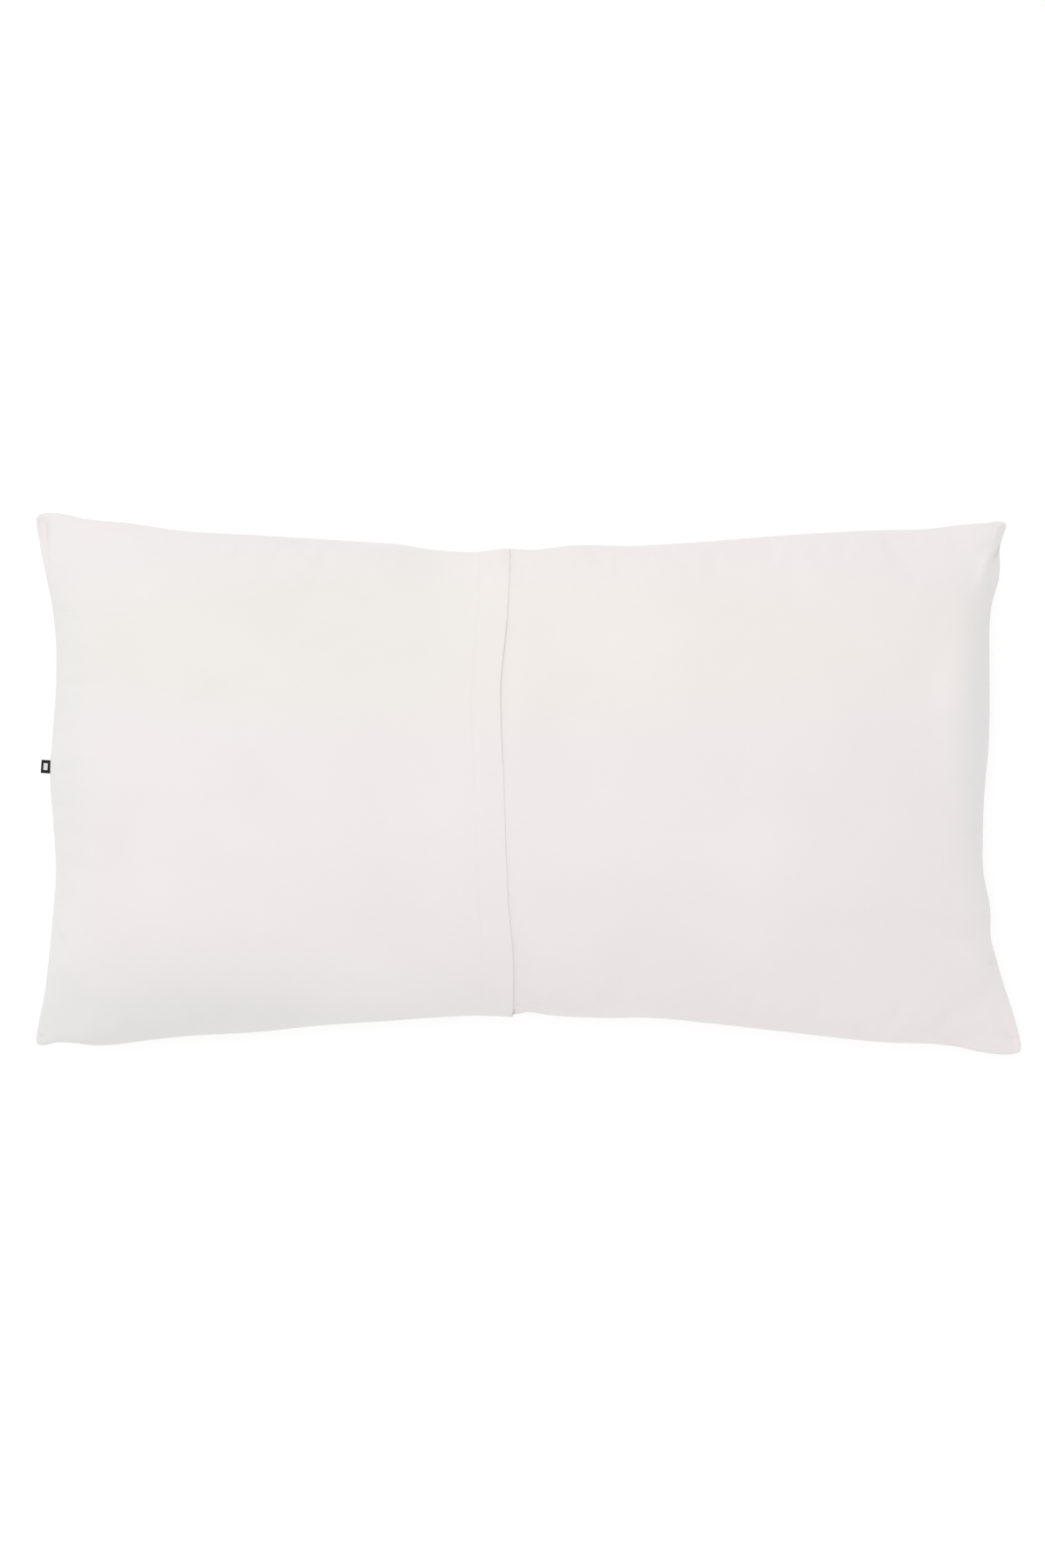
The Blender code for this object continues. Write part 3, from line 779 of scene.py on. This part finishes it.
def new_material(name):
    material = bpy.data.materials.new(name)
    material.use_nodes = True
    return material, material.node_tree.nodes, material.node_tree.links


def math_node(nodes, links, operation, first, second=None):
    """The output of a Math node, whose inputs are numbers or sockets."""
    node = nodes.new("ShaderNodeMath")
    node.operation = operation
    for socket, value in zip(node.inputs, (first, second)):
        if value is None:
            continue
        if isinstance(value, (int, float)):
            socket.default_value = value
        else:
            links.new(value, socket)
    return node.outputs[0]


def close_weave_group():
    """Threads over and under each other, with slubs: a height and a shade."""
    group = bpy.data.node_groups.new("close_weave", "ShaderNodeTree")
    face = group.interface
    face.new_socket("Place", in_out="INPUT", socket_type="NodeSocketVector")
    thread = face.new_socket("Threads", in_out="INPUT", socket_type="NodeSocketFloat")
    thread.default_value = THREADS
    face.new_socket("Height", in_out="OUTPUT", socket_type="NodeSocketFloat")
    face.new_socket("Shade", in_out="OUTPUT", socket_type="NodeSocketFloat")
    nodes, links = group.nodes, group.links
    given = nodes.new("NodeGroupInput")
    out = nodes.new("NodeGroupOutput")
    split = nodes.new("ShaderNodeSeparateXYZ")
    links.new(given.outputs["Place"], split.inputs[0])
    waves = []
    for axis in (0, 1):
        turns = math_node(nodes, links, "MULTIPLY", split.outputs[axis], given.outputs["Threads"])
        angle = math_node(nodes, links, "MULTIPLY", turns, math.pi)
        waves.append(math_node(nodes, links, "SINE", angle))
    crossing = math_node(nodes, links, "MULTIPLY", waves[0], waves[1])
    slubs = []
    for stretch in ((SLUB_ALONG, SLUB_ACROSS, 1.0), (SLUB_ACROSS, SLUB_ALONG, 1.0)):
        mapping = nodes.new("ShaderNodeMapping")
        mapping.inputs["Scale"].default_value = stretch
        links.new(given.outputs["Place"], mapping.inputs["Vector"])
        noise = nodes.new("ShaderNodeTexNoise")
        noise.inputs["Scale"].default_value = 1.0
        noise.inputs["Detail"].default_value = 2.0
        links.new(mapping.outputs[0], noise.inputs["Vector"])
        slubs.append(noise.outputs["Fac"])
    slub = math_node(nodes, links, "ADD", slubs[0], slubs[1])
    height = math_node(nodes, links, "MULTIPLY_ADD", crossing, CROSSING_HEIGHT)
    links.new(slub, height.node.inputs[2])
    links.new(height, out.inputs["Height"])
    shade = math_node(nodes, links, "MULTIPLY_ADD", crossing, CROSSING_SHADE)
    links.new(slub, shade.node.inputs[2])
    links.new(shade, out.inputs["Shade"])
    return group


def paint_light_and_shade(nodes, links, place, color):
    """The cloth's colour with painted shade and painted light in ovals over the case."""
    for tone in PAINTED_LIGHT_AND_SHADE:
        oval = nodes.new("ShaderNodeMapping")
        oval.vector_type = "TEXTURE"
        oval.inputs["Location"].default_value = (tone.x, tone.y, 0)
        oval.inputs["Scale"].default_value = (tone.reach_x, tone.reach_y, PAINTED_TINT_HEIGHT)
        links.new(place, oval.inputs["Vector"])
        away = nodes.new("ShaderNodeVectorMath")
        away.operation = "LENGTH"
        links.new(oval.outputs[0], away.inputs[0])
        share = nodes.new("ShaderNodeMapRange")
        share.interpolation_type = "SMOOTHSTEP"
        share.inputs["From Min"].default_value = 1.0
        share.inputs["From Max"].default_value = PAINTED_TINT_CORE
        links.new(away.outputs["Value"], share.inputs["Value"])
        mix = nodes.new("ShaderNodeMix")
        mix.data_type = "RGBA"
        mix.blend_type = "MULTIPLY"
        # each oval multiplies its painted shade or painted light tint into the colour
        mix.inputs["B"].default_value = (*tone.tint, 1)
        links.new(share.outputs["Result"], mix.inputs["Factor"])
        links.new(color, mix.inputs["A"])
        color = mix.outputs["Result"]
    return color


def cloth_material(weave):
    """Smooth off-white cotton: fine weave, slight slubs, an uneven, soft tone, and painted shade
    and painted light in a few ovals.
    """
    material, nodes, links = new_material("off_white_cotton")
    surface = nodes["Principled BSDF"]
    surface.inputs["Roughness"].default_value = 0.88
    surface.inputs["Specular IOR Level"].default_value = 0.25
    surface.inputs["Sheen Weight"].default_value = 0.12
    surface.inputs["Sheen Roughness"].default_value = 0.5
    uv = nodes.new("ShaderNodeUVMap")
    uv.uv_map = "cloth"
    group = nodes.new("ShaderNodeGroup")
    group.node_tree = weave
    group.inputs["Threads"].default_value = THREADS
    links.new(uv.outputs[0], group.inputs["Place"])
    place = nodes.new("ShaderNodeTexCoord")
    tone = nodes.new("ShaderNodeTexNoise")
    tone.inputs["Scale"].default_value = 9.0
    tone.inputs["Detail"].default_value = 3.0
    links.new(place.outputs["Object"], tone.inputs["Vector"])
    mixed = math_node(nodes, links, "MULTIPLY_ADD", group.outputs["Shade"], WEAVE_TONE)
    links.new(tone.outputs["Fac"], mixed.node.inputs[2])
    ramp = nodes.new("ShaderNodeValToRGB")
    ramp.color_ramp.elements[0].position = 0.3
    ramp.color_ramp.elements[0].color = (0.860, 0.817, 0.809, 1)
    ramp.color_ramp.elements[1].position = 1.1
    ramp.color_ramp.elements[1].color = (0.901, 0.857, 0.850, 1)
    links.new(mixed, ramp.inputs[0])
    # painted shade, darker and greyer at the ends and lower left, and painted light, creamier at
    # the top and pinker at the lower right
    color = paint_light_and_shade(nodes, links, place.outputs["Object"], ramp.outputs[0])
    links.new(color, surface.inputs["Base Color"])
    bump = nodes.new("ShaderNodeBump")
    bump.inputs["Strength"].default_value = 0.35
    bump.inputs["Distance"].default_value = 0.00008
    links.new(group.outputs["Height"], bump.inputs["Height"])
    links.new(bump.outputs[0], surface.inputs["Normal"])
    return material


def thread_material():
    """Thread of the cloth's colour, a little uneven where it is twisted."""
    material, nodes, links = new_material("sewing_thread")
    surface = nodes["Principled BSDF"]
    surface.inputs["Roughness"].default_value = 0.6
    surface.inputs["Sheen Weight"].default_value = 0.1
    place = nodes.new("ShaderNodeTexCoord")
    twist = nodes.new("ShaderNodeTexNoise")
    twist.inputs["Scale"].default_value = 1800.0
    links.new(place.outputs["Object"], twist.inputs["Vector"])
    ramp = nodes.new("ShaderNodeValToRGB")
    ramp.color_ramp.elements[0].color = (0.84, 0.80, 0.78, 1)
    ramp.color_ramp.elements[1].color = (0.92, 0.88, 0.86, 1)
    links.new(twist.outputs["Fac"], ramp.inputs[0])
    links.new(ramp.outputs[0], surface.inputs["Base Color"])
    return material


def ribbon_material():
    """Black woven ribbon with one plain pale bar in its middle."""
    material, nodes, links = new_material("black_ribbon")
    surface = nodes["Principled BSDF"]
    surface.inputs["Roughness"].default_value = 0.62
    surface.inputs["Specular IOR Level"].default_value = 0.2
    surface.inputs["Sheen Weight"].default_value = 0.05
    uv = nodes.new("ShaderNodeUVMap")
    uv.uv_map = "cloth"
    split = nodes.new("ShaderNodeSeparateXYZ")
    links.new(uv.outputs[0], split.inputs[0])
    out = math_node(nodes, links, "SUBTRACT", split.outputs[0], TAB_REACH / 2 * MM)
    sides = [
        math_node(nodes, links, "LESS_THAN", math_node(nodes, links, "ABSOLUTE", at), half * MM)
        for at, half in ((out, TAB_BAR[0]), (split.outputs[1], TAB_BAR[1]))
    ]
    bar = math_node(nodes, links, "MULTIPLY", *sides)
    ribs = nodes.new("ShaderNodeTexWave")
    ribs.inputs["Scale"].default_value = 260.0
    ribs.inputs["Distortion"].default_value = 0.4
    links.new(uv.outputs[0], ribs.inputs["Vector"])
    mix = nodes.new("ShaderNodeMix")
    mix.data_type = "RGBA"
    mix.inputs["A"].default_value = (0.010, 0.010, 0.011, 1)
    mix.inputs["B"].default_value = (0.75, 0.74, 0.72, 1)
    links.new(bar, mix.inputs["Factor"])
    links.new(mix.outputs["Result"], surface.inputs["Base Color"])
    bump = nodes.new("ShaderNodeBump")
    bump.inputs["Strength"].default_value = 0.5
    bump.inputs["Distance"].default_value = 0.0001
    links.new(ribs.outputs["Fac"], bump.inputs["Height"])
    links.new(bump.outputs[0], surface.inputs["Normal"])
    return material


def floor_material():
    """A pale floor that also gives off light, so that it looks white from above."""
    material, nodes, _ = new_material("pale_floor")
    surface = nodes["Principled BSDF"]
    surface.inputs["Base Color"].default_value = (0.60, 0.60, 0.60, 1)
    surface.inputs["Roughness"].default_value = 0.9
    surface.inputs["Emission Color"].default_value = (1, 1, 1, 1)
    surface.inputs["Emission Strength"].default_value = 0.46
    return material


# ---------------------------------------------------------------- pieces


def cloth_places(points):
    """Where each point lies on the flat cloth, in millimetres, as the piece's UV map."""
    left, _, bottom, _ = from_edges(points)
    return np.stack([left, bottom], axis=-1)


def lay_out(shape, spots):
    """Make the UV map from the place on the flat cloth of each of the shape's corners."""
    cloth = shape.loops.layers.uv["cloth"]
    for face in shape.faces:
        for loop in face.loops:
            loop[cloth].uv = spots[loop.vert]


def closed_grid(upper, lower, places):
    """A closed body between two grids of points that share their columns and rows."""
    columns, rows = upper.shape[0] - 1, upper.shape[1] - 1
    shape = bmesh.new()
    shape.loops.layers.uv.new("cloth")
    bmesh.ops.create_grid(shape, x_segments=columns, y_segments=rows, size=1)
    raised = bmesh.ops.extrude_face_region(shape, geom=shape.faces[:])["geom"]
    raised = {item for item in raised if isinstance(item, bmesh.types.BMVert)}
    spots = {}
    for vert in shape.verts:
        column, row = grid_spot(vert, columns, rows)
        grid = upper if vert in raised else lower
        vert.co = grid[column, row] * MM
        spots[vert] = places[column, row] * MM
    lay_out(shape, spots)
    bmesh.ops.remove_doubles(shape, verts=shape.verts[:], dist=SAME_PLACE * MM)
    face_out(shape)
    return shape


def add_piece(name, shape, material, slot, *nodes):
    """One of the case's pieces, which takes the place of the solids named in `nodes`."""
    mesh = bpy.data.meshes.new(name)
    shape.to_mesh(mesh)
    shape.free()
    mesh.shade_smooth()
    mesh.set_sharp_from_angle(angle=SHARP_ANGLE)
    mesh.materials.append(material)
    piece = new_object(name, mesh)
    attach(piece, "root")
    if nodes:
        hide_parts(*nodes)
    return piece


def add_front_panel(cloth):
    """The filled case below its back panels."""
    top = layer(SINK + CLOTH + GAP)
    shape = closed_grid(top, FRONT_OUT, cloth_places(FRONT_OUT))
    piece = add_piece("front_panel", shape, cloth, "case_cloth", "filled_front_panel")
    return piece


def add_right_panel(cloth):
    """The sheet from its hidden edge under the flap to the right end."""
    first = HIDDEN_COLUMN + LIP_RINGS
    upper = layer(SINK)[first:]
    lower = layer(SINK + CLOTH)[first:]
    shape = closed_grid(upper, lower, cloth_places(BACK_OUT)[first:])
    piece = add_piece("right_panel", shape, cloth, "case_cloth", "right_back_panel")
    return piece


def add_flap(cloth):
    """The sheet from the left end to its hemmed edge, over the right panel."""
    last = FLAP_COLUMN + LIP_RINGS + 1
    outer, inner = hem_profile()
    lift = flap_lift()
    upper = layer(np.pad(-outer - lift, PAD, mode="edge"))[:last]
    lower = layer(np.pad(CLOTH - inner - lift, PAD, mode="edge"))[:last]
    shape = closed_grid(upper, lower, cloth_places(BACK_OUT)[:last])
    piece = add_piece("flap", shape, cloth, "case_cloth", "left_back_flap")
    return piece


def add_hem_stitching(thread):
    """A row of lockstitches along the flap's hem."""
    column = int(np.argmin(np.abs(COLUMNS - (FLAP_EDGE - HEM_WIDTH)))) + LIP_RINGS
    line = BACK_OUT[column, LIP_RINGS:-LIP_RINGS]
    normal = BACK_NORMAL[column, LIP_RINGS:-LIP_RINGS]
    length = np.concatenate([[0], np.cumsum(np.linalg.norm(np.diff(line, axis=0), axis=-1))])
    shape = bmesh.new()
    for start in np.arange(FIRST_STITCH, length[-1] - LAST_STITCH, STITCH_SPACE):
        ends = [
            Vector([np.interp(at, length, line[:, k]) for k in range(3)])
            for at in (start, start + STITCH_LENGTH)
        ]
        up = Vector([np.interp(start, length, normal[:, k]) for k in range(3)]).normalized()
        along = (ends[1] - ends[0]).normalized()
        turn = Matrix((along, up.cross(along), up)).transposed().to_4x4()
        middle = (ends[0] + ends[1]) / 2 + up * (STITCH_RADIUS * STITCH_PROUD)
        size = Matrix.Diagonal((STITCH_LENGTH / 2, STITCH_RADIUS, STITCH_RADIUS, 1))
        place = Matrix.Scale(MM, 4) @ Matrix.Translation(middle) @ turn @ size
        bmesh.ops.create_uvsphere(
            shape, u_segments=STITCH_SIDES, v_segments=STITCH_BANDS, radius=1, matrix=place
        )
    return add_piece("hem_stitching", shape, thread, "case_cloth")


def add_tab(ribbon):
    """A short ribbon folded in two, with its ends in the left seam."""
    leg = TAB_REACH - TAB_FOLD_RADIUS - TAB_RIBBON / 2
    outward = np.linspace(-TAB_SEWN_IN, leg, TAB_LEG_POINTS)
    path = [(out, TAB_FOLD_RADIUS) for out in outward]
    for angle in np.linspace(math.pi / 2, -math.pi / 2, TAB_FOLD_TURNS + 1)[1:-1]:
        path.append((leg + TAB_FOLD_RADIUS * math.cos(angle), TAB_FOLD_RADIUS * math.sin(angle)))
    path += [(out, -TAB_FOLD_RADIUS) for out in outward[::-1]]
    squares = len(path) - 1
    shape = bmesh.new()
    shape.loops.layers.uv.new("cloth")
    bmesh.ops.create_grid(shape, x_segments=squares, y_segments=TAB_SQUARES_ACROSS, size=1)
    seam_x = float(through(LEFT_SEAM, "aside", TAB_Y))
    seam_z = float(through(LEFT_SEAM, "height", TAB_Y))
    place = (
        Matrix.Translation((seam_x, TAB_Y, seam_z))
        @ Matrix.Rotation(TAB_TURN, 4, "Z")
        @ Matrix.Rotation(-TAB_DROOP, 4, "Y")
    )
    spots = {}
    for vert in shape.verts:
        column, _ = grid_spot(vert, squares, TAB_SQUARES_ACROSS)
        out, up = path[column]
        across = vert.co.y * TAB_WIDTH / 2
        spots[vert] = (out * MM, across * MM)
        vert.co = place @ Vector((-out, across, up)) * MM
    lay_out(shape, spots)
    bmesh.ops.recalc_face_normals(shape, faces=shape.faces[:])
    piece = add_piece("tab", shape, ribbon, "tab_ribbon", "side_tab")
    thickness = piece.modifiers.new("ribbon", "SOLIDIFY")
    thickness.thickness = TAB_RIBBON * MM
    thickness.offset = 0
    edge = piece.modifiers.new("edge", "BEVEL")
    edge.width = TAB_EDGE * MM
    edge.segments = 2
    edge.limit_method = "ANGLE"
    return piece


# ---------------------------------------------------------------- the photographer's set

PIXEL = 0.787 * MM  # of the photograph, at the height of the seams
PHOTO_WIDTH, PHOTO_HEIGHT = 1200, 1800
CASE_MIDDLE_PX = (607.5, 899.5)
SEAM_LEVEL = 60 * MM
LENS, SENSOR = 200.0, 36.0
FLOOR_HALF = 25  # half its width, in metres
FLOOR_DROP = 0.3  # below the case
AIR = 0.77  # strength of the room's even light

Lamp = namedtuple("Lamp", "name place size power")
LAMPS = [  # in metres and watts
    Lamp("overhead", (0, 0, 6.0), 2.4, 54),
    Lamp("key", (-3.25, 3.25, 3.86), 2.4, 34),
]


def add_camera():
    """Straight above, as the photograph was taken."""
    camera = bpy.data.cameras.new("camera")
    camera.sensor_fit = "VERTICAL"
    camera.sensor_height = SENSOR
    camera.lens = LENS
    distance = PHOTO_HEIGHT * PIXEL * LENS / SENSOR
    stand = new_object("camera", camera)
    stand.location = (
        (PHOTO_WIDTH / 2 - CASE_MIDDLE_PX[0]) * PIXEL,
        (CASE_MIDDLE_PX[1] - PHOTO_HEIGHT / 2) * PIXEL,
        SEAM_LEVEL + distance,
    )
    bpy.context.scene.camera = stand


def add_floor():
    shape = bmesh.new()
    bmesh.ops.create_grid(shape, x_segments=1, y_segments=1, size=FLOOR_HALF)
    mesh = bpy.data.meshes.new("floor")
    shape.to_mesh(mesh)
    shape.free()
    mesh.materials.append(floor_material())
    floor = new_object("floor", mesh)
    floor.location = (0, 0, -FLOOR_DROP * MM)


def add_lamp(lamp):
    """A round soft lamp that points at the case."""
    light = bpy.data.lights.new(lamp.name, "AREA")
    light.shape = "DISK"
    light.size = lamp.size
    light.energy = lamp.power
    stand = new_object(lamp.name, light)
    stand.location = lamp.place
    stand.rotation_euler = (-Vector(lamp.place)).to_track_quat("-Z", "Y").to_euler()
    stand.visible_camera = False


def add_light_and_air():
    world = bpy.data.worlds.new("studio")
    world.use_nodes = True
    air = world.node_tree.nodes["Background"]
    air.inputs["Color"].default_value = (1, 1, 1, 1)
    air.inputs["Strength"].default_value = AIR
    bpy.context.scene.world = world
    for lamp in LAMPS:
        add_lamp(lamp)
    scene = bpy.context.scene
    scene.view_settings.view_transform = "Standard"
    scene.view_settings.look = "None"


def main():
    cotton = cloth_material(close_weave_group())
    body = add_front_panel(cotton)
    add_right_panel(cotton)
    add_flap(cotton)
    add_hem_stitching(thread_material())
    add_tab(ribbon_material())
    add_camera()
    add_floor()
    add_light_and_air()


main()
